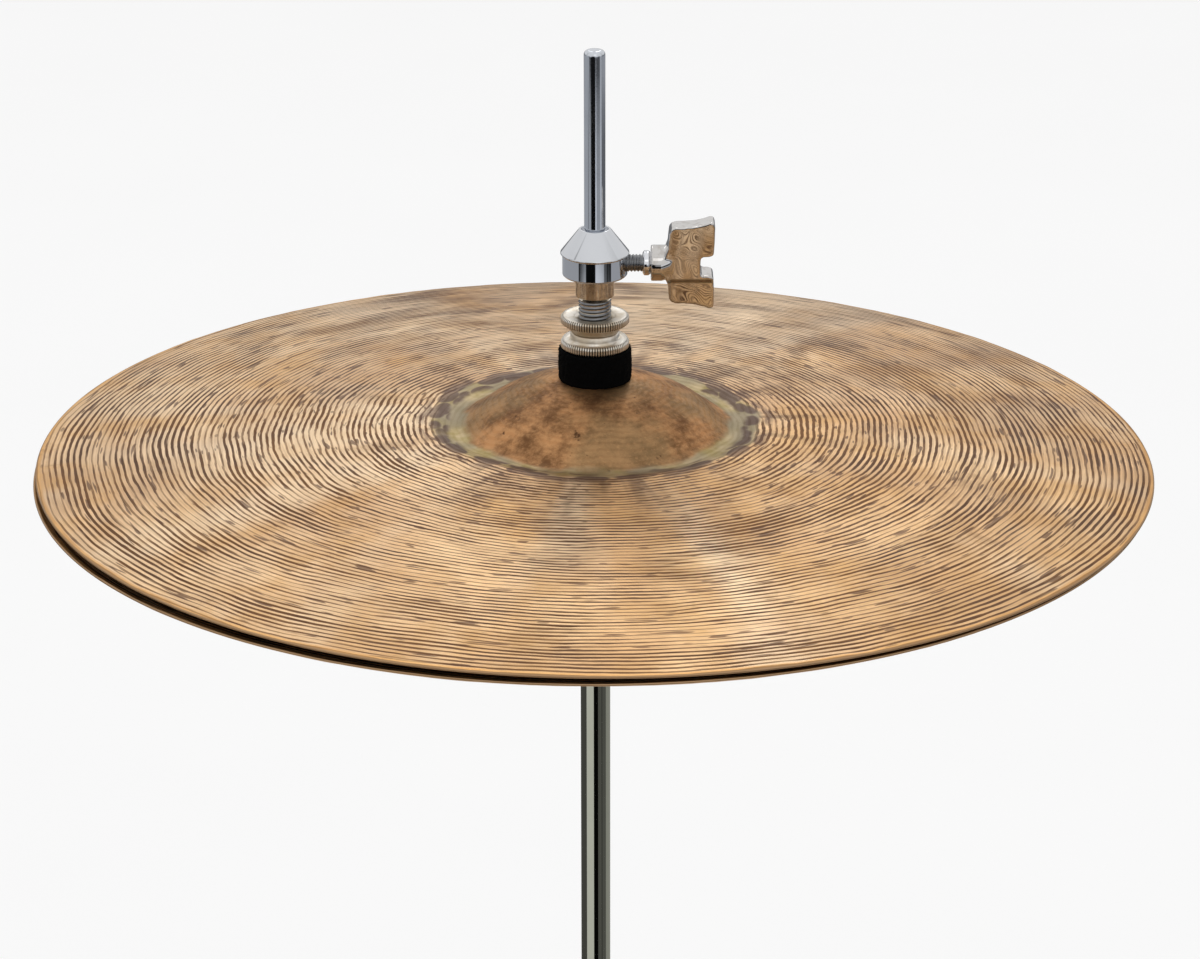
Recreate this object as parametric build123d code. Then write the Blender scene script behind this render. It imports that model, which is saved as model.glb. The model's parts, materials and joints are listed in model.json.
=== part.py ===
from build123d import *
from math import atan2, degrees, sqrt
import os

# Hi hat: a closed pair of 14 inch cymbals on a stand with a foot pedal.
# Millimetres. +Z is up, and the origin is on the floor, under the pull rod's axis.
# The pedal points to -Y, and the clutch's wing bolt to +X.

# ---- driving dimensions ----
CYMBAL_R = 177.8            # 14 inch cymbals
CYMBAL_T = 0.9
BOW_RISE = 11.0             # rim to the foot of the bell's flare
FLARE_R = 51.5
BELL_R = 39.2
BELL_RISE = 26.6            # rim to the top of the bell
CYMBAL_HOLE_R = 6.2
RIM_Z = 850.0               # top cymbal's rim plane above the floor
TOP_TILT = (-0.45, 0.50)    # degrees about X and Y, as the cymbal hangs on its felts
BOTTOM_TILT = (-0.45, 0.20)
BOTTOM_SHIFT = -0.8
RIM_GAP = 1.35              # mean gap between the two rims
SOFT_GAP = 0.3              # clearance around felts and between moving faces
RUN_GAP = 0.07              # radial clearance of shafts and threads

ROD_R = 3.35
ROD_TIP_Z = RIM_Z + 133.0
BARREL_R = 5.25             # clutch's threaded barrel
NUT_R = 10.85
NUT_HUB_R = 7.8
FELT_R = 11.4

UPPER_TUBE_R = 4.85
UPPER_TUBE_BORE_R = 3.8
LOWER_TUBE_R = 11.0
LOWER_TUBE_BORE_R = 9.7
LOWER_TUBE_TOP_Z = 528.0

PLATE_T = 3.0
FRAME_TOP_Z = 143.0         # seat of the lower tube in the pedal frame
LEG_PIVOT_R = 34.0
LEG_PIVOT_Z = 152.0
LEG_SLOPE = 27.4            # degrees below level
LEG_LENGTH = 302.0
LEG_AZIMUTHS = {"back": 90.0, "left": 210.0, "right": 330.0}

HEEL_Y = -235.0
HEEL_Z = 18.0
TOE_Z = 43.0
LINK_LENGTH = 42.0
ROD_TRAVEL = 34.5           # how far the rod rises when the pedal is let go


# ---- helpers ----
def bar(r, z0, z1, x=0.0, y=0.0):
    return Pos(x, y, (z0 + z1) / 2) * Cylinder(r, z1 - z0)


def pipe(r, bore, z0, z1, x=0.0, y=0.0):
    return bar(r, z0, z1, x, y) - bar(bore, z0 - 1, z1 + 1, x, y)


def bar_x(r, x0, x1, y, z):
    return Pos((x0 + x1) / 2, y, z) * Rotation(0, 90, 0) * Cylinder(r, x1 - x0)


def bar_y(r, y0, y1, x, z):
    return Pos(x, (y0 + y1) / 2, z) * Rotation(90, 0, 0) * Cylinder(r, y1 - y0)


def block(x0, x1, y0, y1, z0, z1):
    return Pos((x0 + x1) / 2, (y0 + y1) / 2, (z0 + z1) / 2) * Box(x1 - x0, y1 - y0, z1 - z0)


def turned(points):
    """A solid turned about Z from (radius, height) points."""
    return revolve(make_face(Plane.XZ * Polyline(*points, close=True)), Axis.Z)


def turned_edges(edges):
    """A solid turned about Z from edges drawn as (radius, height)."""
    return revolve(make_face([Plane.XZ * edge for edge in edges]), Axis.Z)


def save(name, shape):
    solids = shape.solids()
    export_step(solids[0] if len(solids) == 1 else Compound(children=solids), "parts/" + name + ".step")
    print(name, len(solids), "solid(s),", round(sum(s.volume for s in solids)), "mm3")


# ---- cymbals ----
DOME_RADIUS = (BELL_R ** 2 + (BELL_RISE - 13.0) ** 2) / (2 * (BELL_RISE - 13.0))


def dome_drop(r):
    """How far the bell's surface lies below its crown at radius r."""
    return DOME_RADIUS - sqrt(DOME_RADIUS ** 2 - r ** 2)


def cymbal_line(drop):
    """The cymbal's section from hole to rim: dome, flare and bow, lowered by drop."""
    dome_end = BELL_R - 5.0
    crown = (CYMBAL_HOLE_R, BELL_RISE - dome_drop(CYMBAL_HOLE_R) - drop)
    dome_mid = (dome_end * 0.55, BELL_RISE - dome_drop(dome_end * 0.55) - drop)
    dome_foot = (dome_end, BELL_RISE - dome_drop(dome_end) - drop)
    bow_start = (FLARE_R, BOW_RISE - drop)
    bow_radius = (CYMBAL_R ** 2 - FLARE_R ** 2) / (2 * BOW_RISE)
    bow_mid_r = (CYMBAL_R + FLARE_R) / 2
    bow_mid = (bow_mid_r, (CYMBAL_R ** 2 - bow_mid_r ** 2) / (2 * bow_radius) - drop)
    dome = ThreePointArc(crown, dome_mid, dome_foot)
    bow = ThreePointArc(bow_start, bow_mid, (CYMBAL_R, -drop))
    flare = Spline(dome_foot, bow_start, tangents=(dome % 1, bow % 0))
    return dome, flare, bow


def cymbal():
    upper = cymbal_line(0.0)
    lower = cymbal_line(CYMBAL_T)
    hole_edge = Line(upper[0] @ 0, lower[0] @ 0)
    rim_edge = Line(upper[2] @ 1, lower[2] @ 1)
    return turned_edges([*upper, rim_edge, *lower, hole_edge])


def top_cymbal():
    return Pos(0, 0, RIM_Z) * Rotation(TOP_TILT[0], TOP_TILT[1], 0) * cymbal()


BOTTOM_Z = RIM_Z - CYMBAL_T - RIM_GAP - CYMBAL_T


def bottom_cymbal():
    upside_down = Rotation(180, 0, 0) * cymbal()
    return Pos(BOTTOM_SHIFT, 0, BOTTOM_Z) * Rotation(BOTTOM_TILT[0], BOTTOM_TILT[1], 0) * upside_down


# ---- felts: their faces follow the bell's dome ----
def felt_section(r, bore, edge_z, dome_z, direction):
    """Ring between a flat face at edge_z and a face that keeps beside the dome from dome_z."""
    inner = (bore, dome_z - direction * dome_drop(bore))
    outer = (r, dome_z - direction * dome_drop(r))
    middle_r = (r + bore) / 2
    middle = (middle_r, dome_z - direction * dome_drop(middle_r))
    edges = [
        Line((bore, edge_z), inner),
        ThreePointArc(inner, middle, outer),
        Line(outer, (r, edge_z)),
        Line((r, edge_z), (bore, edge_z)),
    ]
    return turned_edges(edges)


FELT_TOP_Z = RIM_Z + 36.1
FELT_BORE_R = BARREL_R + 0.4


def upper_felt():
    return felt_section(FELT_R, FELT_BORE_R, FELT_TOP_Z - SOFT_GAP, RIM_Z + BELL_RISE + SOFT_GAP, 1)


LOWER_FELT_Z = RIM_Z + 17.6


def lower_felt():
    return felt_section(
        FELT_R, FELT_BORE_R, LOWER_FELT_Z, RIM_Z + BELL_RISE - CYMBAL_T - 2 * SOFT_GAP, 1
    )


SEAT_CUP_Z = 800.0
SEAT_CUP_T = 6.0
BOTTOM_BELL_Z = BOTTOM_Z - BELL_RISE


def seat_felt():
    return felt_section(19.0, 5.3, SEAT_CUP_Z + SEAT_CUP_T, BOTTOM_BELL_Z - 2 * SOFT_GAP, -1)


# ---- clutch ----
COLLAR_R = 10.25
COLLAR_Z = RIM_Z + 60.1
CONE_Z = RIM_Z + 67.1
CONE_R = 10.85
CLUTCH_TOP_Z = RIM_Z + 75.4
CLUTCH_TOP_R = 4.85
CLUTCH_BOTTOM_Z = RIM_Z + 8.0
CLUTCH_BORE_R = ROD_R + RUN_GAP
WING_Z = RIM_Z + 64.0
SCREW_R = 2.85
WING_LEAN = 10.0            # degrees that the upper wing leans to the front


def clutch_body():
    neck_z = RIM_Z + 52.9
    shell = turned([
        (CLUTCH_BORE_R, CLUTCH_BOTTOM_Z),
        (BARREL_R, CLUTCH_BOTTOM_Z),
        (BARREL_R, neck_z),
        (6.1, neck_z + 1.6),
        (6.1, COLLAR_Z),
        (COLLAR_R - 0.5, COLLAR_Z),
        (COLLAR_R, COLLAR_Z + 0.5),
        (COLLAR_R, CONE_Z),
        (CONE_R, CONE_Z),
        (CONE_R, CONE_Z + 0.4),
        (CLUTCH_TOP_R, CLUTCH_TOP_Z),
        (4.3, CLUTCH_TOP_Z),
        (4.3, CLUTCH_TOP_Z - 1.3),
        (CLUTCH_BORE_R, CLUTCH_TOP_Z - 1.3),
    ])
    return shell - bar_x(SCREW_R + RUN_GAP, 0, COLLAR_R + 5, 0, WING_Z)


def clutch_wing_screw():
    shank = bar_x(SCREW_R, ROD_R + 0.3, 15.0, 0, WING_Z)
    neck = bar_x(3.95, 15.0, 17.5, 0, WING_Z)
    return shank + neck


def wing_plate(side, x0, x1, near, reach_in, reach_out, thickness):
    """One wing in the XZ plane: side is 1 for the upper wing and -1 for the lower one."""
    heights = [(x0, 0), (x0, reach_in), (x1, reach_out), (x1, near), (x1 - 5.0, 0)]
    outline = Polyline(*[(x, side * h) for x, h in heights], close=True)
    return extrude(make_face(Plane.XZ * outline), amount=thickness / 2, both=True)


def wing_shape(hub_r, hub0, hub1, x0, x1, near, reach_in, reach_out, thickness):
    """A cast wing on the X axis: a hub with one wing above it and one below."""
    wings = [wing_plate(s, x0, x1, near, reach_in, reach_out, thickness) for s in (1, -1)]
    rounded = [fillet(w.edges().filter_by(Axis.Y), 1.4) for w in wings]
    hub = bar_x(hub_r, hub0, hub1, 0, 0)
    return hub + rounded[0] + rounded[1]


def clutch_wing():
    wing = wing_shape(5.9, 17.5, 33.2, 22.8, 38.3, 3.1, 13.0, 15.1, 8.0)
    return Pos(0, 0, WING_Z) * Rotation(WING_LEAN, 0, 0) * wing


def knurled_nut(flange_z, flange_t, hub_z, hub_t):
    flange_edge = 0.5
    bore = BARREL_R + RUN_GAP
    flange = turned([
        (bore, flange_z),
        (NUT_R - flange_edge, flange_z),
        (NUT_R, flange_z + flange_edge),
        (NUT_R, flange_z + flange_t - flange_edge),
        (NUT_R - flange_edge, flange_z + flange_t),
        (bore, flange_z + flange_t),
    ])
    return flange + pipe(NUT_HUB_R, bore, hub_z, hub_z + hub_t)


def clutch_felt_nut():
    return knurled_nut(RIM_Z + 36.1, 2.6, RIM_Z + 38.7, 2.8)


def clutch_lock_nut():
    nut = knurled_nut(RIM_Z + 44.2, 2.7, RIM_Z + 41.7, 2.5)
    return nut - bar(6.6, RIM_Z + 46.0, RIM_Z + 48.0)


BOTTOM_NUT_Z = RIM_Z + 9.0
BOTTOM_NUT_T = 8.3
SET_SCREW_R = 1.5
SET_SCREW_Z = BOTTOM_NUT_Z + 3.5


def clutch_bottom_nut():
    nut = pipe(9.5, BARREL_R, BOTTOM_NUT_Z, BOTTOM_NUT_Z + BOTTOM_NUT_T)
    return nut - bar_x(SET_SCREW_R, 0, 12, 0, SET_SCREW_Z)


def bottom_nut_set_screw():
    return bar_x(SET_SCREW_R, BARREL_R + 0.02, 9.3, 0, SET_SCREW_Z)


# ---- pull rod ----
COUPLER_Z = 300.0
COUPLER_TOP_Z = 335.0
ROD_JOIN_Z = 318.0
LOWER_ROD_R = 3.0
LINK_TOP_Z = TOE_Z + LINK_LENGTH
CLEVIS_BOTTOM_Z = LINK_TOP_Z - 7.0
CLEVIS_TOP_Z = LINK_TOP_Z + 13.0
CLEVIS_POCKET_R = 13.0      # in the pedal frame's crown, for the clevis at the top of its travel
LINK_PIN_R = 2.5
TOE_BORE_R = 3.3            # loose on the toe pin, which moves on an arc


def pull_rod():
    tip = 1.5
    groove_z = CLUTCH_TOP_Z
    stem = bar(ROD_R, ROD_JOIN_Z, ROD_TIP_Z)
    stem = fillet(stem.edges().sort_by(Axis.Z)[-1], tip)
    groove = pipe(ROD_R + 1, ROD_R - 0.25, groove_z - 1.0, groove_z)
    return stem - groove


def rod_coupler():
    upper = pipe(6.5, ROD_R, ROD_JOIN_Z, COUPLER_TOP_Z)
    lower = pipe(6.5, LOWER_ROD_R, COUPLER_Z, ROD_JOIN_Z)
    return upper + lower


def lower_rod():
    return bar(LOWER_ROD_R, CLEVIS_TOP_Z - 6, ROD_JOIN_Z)


def rod_clevis():
    body = block(-9, 9, -7, 7, CLEVIS_BOTTOM_Z, CLEVIS_TOP_Z)
    slot = block(-5, 5, -8, 8, CLEVIS_BOTTOM_Z - 1, LINK_TOP_Z + 6.0)
    body = body - slot - bar_x(LINK_PIN_R, -12, 12, 0, LINK_TOP_Z)
    return body - bar(LOWER_ROD_R, CLEVIS_TOP_Z - 6, CLEVIS_TOP_Z + 1)


def link_upper_pin():
    return bar_x(LINK_PIN_R, -10.5, 10.5, 0, LINK_TOP_Z)


def pull_link():
    half_t = 4.4
    upper_eye = bar_x(5.5, -half_t, half_t, 0, LINK_TOP_Z) - bar_x(LINK_PIN_R + 0.1, -9, 9, 0, LINK_TOP_Z)
    lower_eye = bar_x(6.5, -half_t, half_t, 0, TOE_Z) - bar_x(TOE_BORE_R, -9, 9, 0, TOE_Z)
    web = block(-half_t, half_t, -4, 4, TOE_Z + 5.0, LINK_TOP_Z - 4.2)
    return upper_eye + web + lower_eye


SPRING_SEAT_TOP_Z = FRAME_TOP_Z + 6.0
SPRING_TOP_Z = 229.0
SPRING_R = 7.0
SPRING_WIRE_R = 0.9
SPRING_TURNS = 9


def spring_seat():
    return pipe(LOWER_TUBE_BORE_R - 0.1, 3.9, FRAME_TOP_Z, SPRING_SEAT_TOP_Z)


def return_spring():
    length = SPRING_TOP_Z - SPRING_SEAT_TOP_Z - 2 * SPRING_WIRE_R
    path = Helix(length / SPRING_TURNS, length, SPRING_R, center=(0, 0, SPRING_SEAT_TOP_Z + SPRING_WIRE_R))
    return sweep(Plane(origin=path @ 0, z_dir=path % 0) * Circle(SPRING_WIRE_R), path=path, is_frenet=True)


def spring_retainer():
    return pipe(9.2, LOWER_ROD_R, SPRING_TOP_Z, SPRING_TOP_Z + 6.0)


# ---- seat and tilter of the bottom cymbal ----
TILTER_PIN_X = 17.0
TILTER_PIN_Z = 795.0
TILTER_SCREW_X = -15.0
TILTER_SCREW_R = 2.5
TILTER_PIN_R = 1.5
SEAT_SLEEVE_R = 4.9


def seat_cup():
    cup = turned([
        (SEAT_SLEEVE_R, SEAT_CUP_Z),
        (17.0, SEAT_CUP_Z),
        (20.5, SEAT_CUP_Z + 3.0),
        (20.5, SEAT_CUP_Z + SEAT_CUP_T + 2.0),
        (19.3, SEAT_CUP_Z + SEAT_CUP_T + 2.0),
        (19.3, SEAT_CUP_Z + SEAT_CUP_T),
        (SEAT_SLEEVE_R, SEAT_CUP_Z + SEAT_CUP_T),
    ])
    ear = block(TILTER_PIN_X - 3, TILTER_PIN_X + 3, -3.6, 3.6, TILTER_PIN_Z, SEAT_CUP_Z + 3.0)
    ear = ear + bar_y(3.0, -3.6, 3.6, TILTER_PIN_X, TILTER_PIN_Z)
    return cup + ear - bar_y(TILTER_PIN_R + RUN_GAP, -9, 9, TILTER_PIN_X, TILTER_PIN_Z)


def seat_sleeve():
    return pipe(SEAT_SLEEVE_R, 3.75, SEAT_CUP_Z, 828.0)


TILTER_Z = 784.0


def tilter_base():
    body = pipe(12.0, UPPER_TUBE_R, TILTER_Z, TILTER_Z + 14.5)
    hinge_arm = block(9, TILTER_PIN_X, -8.5, 8.5, TILTER_Z + 2, TILTER_PIN_Z + 3)
    hinge_arm = hinge_arm + bar_y(3.0, -8.5, 8.5, TILTER_PIN_X, TILTER_PIN_Z)
    slot = block(TILTER_PIN_X - 4.2, TILTER_PIN_X + 5, -4.0, 4.0, TILTER_Z, TILTER_PIN_Z + 6)
    screw_arm = block(TILTER_SCREW_X - 5, -9, -6, 6, TILTER_Z + 2, TILTER_Z + 9)
    base = body + hinge_arm + screw_arm - slot - bar(UPPER_TUBE_R, TILTER_Z - 1, TILTER_Z + 20)
    base = base - bar_y(TILTER_PIN_R, -9, 9, TILTER_PIN_X, TILTER_PIN_Z)
    return base - bar(TILTER_SCREW_R + RUN_GAP, TILTER_Z, TILTER_Z + 12, TILTER_SCREW_X, 0)


def tilter_pin():
    return bar_y(TILTER_PIN_R, -8.9, 8.9, TILTER_PIN_X, TILTER_PIN_Z)


def tilter_screw():
    head = bar(6.0, TILTER_Z - 6.5, TILTER_Z - 0.5, TILTER_SCREW_X, 0)
    return head + bar(TILTER_SCREW_R, TILTER_Z - 0.5, SEAT_CUP_Z - SOFT_GAP, TILTER_SCREW_X, 0)


# ---- tubes and height clamp ----
UPPER_TUBE_Z = 455.0
LOCK_Z = 608.0
LOCK_SCREW_R = 2.0
CLAMP_Z = 500.0
CLAMP_TOP_Z = 546.0
CLAMP_SCREW_X = 21.0
CLAMP_SCREW_Z = 538.0
CLAMP_SCREW_R = 3.0


def upper_tube():
    return pipe(UPPER_TUBE_R, UPPER_TUBE_BORE_R, UPPER_TUBE_Z, TILTER_Z + 14.5)


def memory_lock():
    ring = pipe(10.0, UPPER_TUBE_R, LOCK_Z, LOCK_Z + 12)
    boss = bar_x(4.5, 8, 14, 0, LOCK_Z + 6) - bar(UPPER_TUBE_R, LOCK_Z, LOCK_Z + 12)
    return ring + boss - bar_x(LOCK_SCREW_R, 0, 20, 0, LOCK_Z + 6)


def memory_lock_screw():
    head = block(14, 20, -2.2, 2.2, LOCK_Z + 3.8, LOCK_Z + 8.2)
    return bar_x(LOCK_SCREW_R, UPPER_TUBE_R + 0.05, 14.0, 0, LOCK_Z + 6) + head


def lower_tube():
    return pipe(LOWER_TUBE_R, LOWER_TUBE_BORE_R, FRAME_TOP_Z, LOWER_TUBE_TOP_Z)


def tube_bushing():
    inside = pipe(LOWER_TUBE_BORE_R, UPPER_TUBE_R + RUN_GAP, LOWER_TUBE_TOP_Z - 28, LOWER_TUBE_TOP_Z)
    flange = pipe(LOWER_TUBE_R, UPPER_TUBE_R + RUN_GAP, LOWER_TUBE_TOP_Z, LOWER_TUBE_TOP_Z + 2.5)
    return inside + flange


def height_clamp():
    socket_top = LOWER_TUBE_TOP_Z + 2.5
    shell = turned([
        (LOWER_TUBE_R, CLAMP_Z),
        (15.0, CLAMP_Z),
        (16.0, CLAMP_Z + 1.0),
        (16.0, CLAMP_TOP_Z - 6.0),
        (10.0, CLAMP_TOP_Z),
        (UPPER_TUBE_R + RUN_GAP, CLAMP_TOP_Z),
        (UPPER_TUBE_R + RUN_GAP, socket_top),
        (LOWER_TUBE_R, socket_top),
    ])
    ears = block(8, CLAMP_SCREW_X + 7, -8, 8, CLAMP_SCREW_Z - 7, CLAMP_SCREW_Z + 7)
    ears = ears - bar(9.0, CLAMP_SCREW_Z - 8, CLAMP_SCREW_Z + 8)
    slot = block(0, 40, -0.8, 0.8, socket_top + 0.5, CLAMP_TOP_Z + 1)
    return shell + ears - slot - bar_y(CLAMP_SCREW_R + RUN_GAP, -12, 12, CLAMP_SCREW_X, CLAMP_SCREW_Z)


def height_clamp_screw():
    return bar_y(CLAMP_SCREW_R, -14, 20, CLAMP_SCREW_X, CLAMP_SCREW_Z)


def height_clamp_nut():
    nut = extrude(Plane.XZ * RegularPolygon(5.5, 6), amount=5.0)
    nut = Pos(CLAMP_SCREW_X, -8.1, CLAMP_SCREW_Z) * nut
    return nut - bar_y(CLAMP_SCREW_R, -14, 0, CLAMP_SCREW_X, CLAMP_SCREW_Z)


def height_clamp_wing():
    wing = wing_shape(6.5, 10.0, 24.0, 14.0, 31.0, 3.4, 14.0, 17.0, 5.5)
    placed = Pos(CLAMP_SCREW_X, 0, CLAMP_SCREW_Z) * Rotation(0, 0, 90) * wing
    return placed - bar_y(CLAMP_SCREW_R, 0, 20, CLAMP_SCREW_X, CLAMP_SCREW_Z)


# ---- pedal frame, base plate and legs ----
FRAME_INNER_X = 40.0
FRAME_OUTER_X = 50.0
FRAME_HALF_Y = 20.0
FRAME_BOSS_R = 19.0
FOOT_OUTER_X = 64.0
BOLT_X = 57.5
BOLT_Y = 11.0
BOLT_R = 3.0


def bolt_places():
    return [(sx * BOLT_X, sy * BOLT_Y) for sx in (-1, 1) for sy in (-1, 1)]


def pedal_frame():
    arch = block(-FRAME_OUTER_X, FRAME_OUTER_X, -FRAME_HALF_Y, FRAME_HALF_Y, PLATE_T, FRAME_TOP_Z - 8)
    arch = arch - block(-FRAME_INNER_X, FRAME_INNER_X, -40, 40, 0, FRAME_TOP_Z - 20)
    feet = block(-FOOT_OUTER_X, FOOT_OUTER_X, -FRAME_HALF_Y, FRAME_HALF_Y, PLATE_T, PLATE_T + 6)
    feet = feet - block(-FRAME_INNER_X, FRAME_INNER_X, -40, 40, 0, 20)
    arch = arch + feet
    corners = [e for e in arch.edges().filter_by(Axis.Y) if abs(e.center().Z - FRAME_TOP_Z + 8) < 0.1]
    arch = fillet(corners, 14.0)
    boss = bar(FRAME_BOSS_R, FRAME_TOP_Z - 20, FRAME_TOP_Z + 42)
    frame = arch + boss - bar(LOWER_TUBE_R, FRAME_TOP_Z, FRAME_TOP_Z + 50)
    frame = frame - bar(LOWER_ROD_R + 0.5, 0, FRAME_TOP_Z + 1)
    frame = frame - bar(CLEVIS_POCKET_R, 0, CLEVIS_TOP_Z + ROD_TRAVEL + 1.5)
    for x, y in bolt_places():
        frame = frame - bar(BOLT_R, 0, 12, x, y)
    return frame


def frame_bolts():
    bolts = []
    for x, y in bolt_places():
        bolts.append(bar(BOLT_R, 0.6, PLATE_T + 6, x, y) + bar(5.2, PLATE_T + 6, PLATE_T + 10, x, y))
    return Compound(children=bolts)


HEEL_BOLT_PLACES = [(-24.0, -272.0), (24.0, -272.0)]
SPUR_PLACES = [(-44.0, 34.0), (44.0, 34.0)]
SPUR_R = 3.0


def base_plate():
    wide = block(-FOOT_OUTER_X - 2, FOOT_OUTER_X + 2, -28, 46, 0, PLATE_T)
    long = block(-34, 34, -304, -27, 0, PLATE_T)
    plate = wide + long
    plate = fillet(plate.edges().filter_by(Axis.Z), 6.0)
    for x, y in bolt_places() + HEEL_BOLT_PLACES:
        plate = plate - bar(BOLT_R, -1, 5, x, y)
    for x, y in SPUR_PLACES:
        plate = plate - bar(SPUR_R + RUN_GAP, -1, 5, x, y)
    return plate


def spur(x, y):
    point = Pos(x, y, 1.6) * Cone(0.4, SPUR_R, 2.4)
    shank = bar(SPUR_R, 2.8, 22, x, y)
    return point + shank + bar(7.5, 16, 24, x, y)


LEG_PIN_R = 3.0
EAR_GAP = 3.3
EAR_OUT = 8.0


def leg_hub():
    hub_z = LEG_PIVOT_Z - 10
    hub = pipe(25.0, FRAME_BOSS_R, hub_z, hub_z + 20)
    for azimuth in LEG_AZIMUTHS.values():
        ears = block(18, LEG_PIVOT_R, -EAR_OUT, EAR_OUT, LEG_PIVOT_Z - 8, LEG_PIVOT_Z + 8)
        ears = ears + bar_y(8.0, -EAR_OUT, EAR_OUT, LEG_PIVOT_R, LEG_PIVOT_Z)
        ears = ears - block(24.5, 60, -EAR_GAP, EAR_GAP, LEG_PIVOT_Z - 12, LEG_PIVOT_Z + 12)
        ears = ears - bar_y(LEG_PIN_R, -12, 12, LEG_PIVOT_R, LEG_PIVOT_Z)
        hub = hub + Rotation(0, 0, azimuth) * ears
    return hub - bar(FRAME_BOSS_R, 100, 200)


def leg_hinge_pins():
    pin = bar_y(LEG_PIN_R, -9.6, 9.6, LEG_PIVOT_R, LEG_PIVOT_Z)
    return Compound(children=[Rotation(0, 0, azimuth) * pin for azimuth in LEG_AZIMUTHS.values()])


def on_leg(azimuth, shape):
    """Turns a shape made along +X from the pivot to a leg's slope and azimuth."""
    sloped = Pos(LEG_PIVOT_R, 0, LEG_PIVOT_Z) * Rotation(0, LEG_SLOPE, 0) * shape
    return Rotation(0, 0, azimuth) * sloped


def leg(azimuth):
    eye = bar_y(7.0, -3.0, 3.0, 0, 0) + block(0, 24, -3.0, 3.0, -5.5, 5.5)
    eye = eye - bar_y(LEG_PIN_R + RUN_GAP, -9, 9, 0, 0)
    plug = bar_x(8.0, 16, 22, 0, 0)
    wall = bar_x(8.0, 22, LEG_LENGTH, 0, 0) - bar_x(6.8, 22, LEG_LENGTH, 0, 0)
    return on_leg(azimuth, eye + plug + wall)


def leg_foot(azimuth):
    foot = bar_x(11.5, LEG_LENGTH - 26, LEG_LENGTH + 12, 0, 0) - bar_x(8.0, 0, LEG_LENGTH, 0, 0)
    return on_leg(azimuth, foot) - block(-500, 500, -500, 500, -50, 0)


# ---- pedal ----
BOARD_SLOPE = degrees(atan2(TOE_Z - HEEL_Z, -HEEL_Y))     # pressed down
TOE_PIN_REACH = sqrt(HEEL_Y ** 2 + (TOE_Z - HEEL_Z) ** 2)
HEEL_PIN_R = 2.5
TOE_PIN_R = 2.5
RIB_COUNT = 7


def footboard():
    outline = [(-36, 226), (-43, 170), (-43, 40), (-38, 6), (38, 6), (43, 40), (43, 170), (36, 226)]
    board = extrude(make_face(Polyline(*outline, close=True)), amount=4.0)
    for i in range(RIB_COUNT):
        x = (i - (RIB_COUNT - 1) / 2) * 10.0
        board = board + block(x - 2.0, x + 2.0, 36, 196, 4.0, 5.3)
    board = board + block(-30, 30, 206, 212, 4.0, 12.0)
    for x0, x1 in ((-29.5, -10.0), (10.0, 29.5)):
        board = board + bar_x(6.0, x0, x1, 0, 0) + block(x0, x1, 0, 8, 0, 4)
    for x0, x1 in ((-11.5, -5.0), (5.0, 11.5)):
        board = board + block(x0, x1, 214, TOE_PIN_REACH, -5, 5) + bar_x(6.0, x0, x1, TOE_PIN_REACH, 0)
    board = board - block(-5, 5, 222, 260, -10, 20)
    board = board - bar_x(HEEL_PIN_R + RUN_GAP, -40, 40, 0, 0) - bar_x(TOE_PIN_R, -20, 20, TOE_PIN_REACH, 0)
    return Pos(0, HEEL_Y, HEEL_Z) * Rotation(BOARD_SLOPE, 0, 0) * board


def toe_pin():
    return bar_x(TOE_PIN_R, -13, 13, 0, TOE_Z)


def heel_plate():
    plate = block(-40, 40, -300, HEEL_Y - 7, PLATE_T, HEEL_Z + 4)
    plate = fillet(plate.edges().filter_by(Axis.Z).group_by(Axis.Y)[0], 12.0)
    for x0, x1 in ((-40.0, -30.0), (-9.5, 9.5), (30.0, 40.0)):
        plate = plate + bar_x(6.0, x0, x1, HEEL_Y, HEEL_Z)
        plate = plate + block(x0, x1, HEEL_Y - 8, HEEL_Y, PLATE_T, HEEL_Z)
    plate = plate - bar_x(HEEL_PIN_R, -45, 45, HEEL_Y, HEEL_Z)
    for x, y in HEEL_BOLT_PLACES:
        plate = plate - bar(BOLT_R, 0, 50, x, y) - bar(5.5, HEEL_Z - 2, 50, x, y)
    return plate


def heel_pin():
    return bar_x(HEEL_PIN_R, -41.5, 41.5, HEEL_Y, HEEL_Z)


def heel_bolts():
    bolts = []
    for x, y in HEEL_BOLT_PLACES:
        bolts.append(bar(BOLT_R, 0.6, HEEL_Z - 2, x, y) + bar(5.2, HEEL_Z - 2, HEEL_Z + 2, x, y))
    return Compound(children=bolts)


# ---- write the sub-parts ----
os.makedirs("parts", exist_ok=True)
PIECES = [
    pull_rod, clutch_body, clutch_wing_screw, clutch_wing, clutch_lock_nut, clutch_felt_nut,
    upper_felt, top_cymbal, lower_felt, clutch_bottom_nut, bottom_nut_set_screw, bottom_cymbal,
    seat_felt, seat_cup, seat_sleeve, tilter_base, tilter_pin, tilter_screw, upper_tube,
    memory_lock, memory_lock_screw, lower_tube, tube_bushing, height_clamp, height_clamp_screw,
    height_clamp_nut, height_clamp_wing, rod_coupler, lower_rod, rod_clevis, link_upper_pin,
    pull_link, spring_seat, return_spring, spring_retainer, pedal_frame, frame_bolts, base_plate,
    leg_hub, leg_hinge_pins, footboard, toe_pin, heel_plate, heel_pin, heel_bolts,
]
for piece in PIECES:
    save(piece.__name__, piece())
for side, azimuth in LEG_AZIMUTHS.items():
    save("leg_" + side, leg(azimuth))
    save("foot_" + side, leg_foot(azimuth))
for side, (x, y) in zip(("left", "right"), SPUR_PLACES):
    save("spur_" + side, spur(x, y))
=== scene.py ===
import json
import math

import bpy
import numpy as np
from mathutils import Euler, Matrix, Vector

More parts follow.
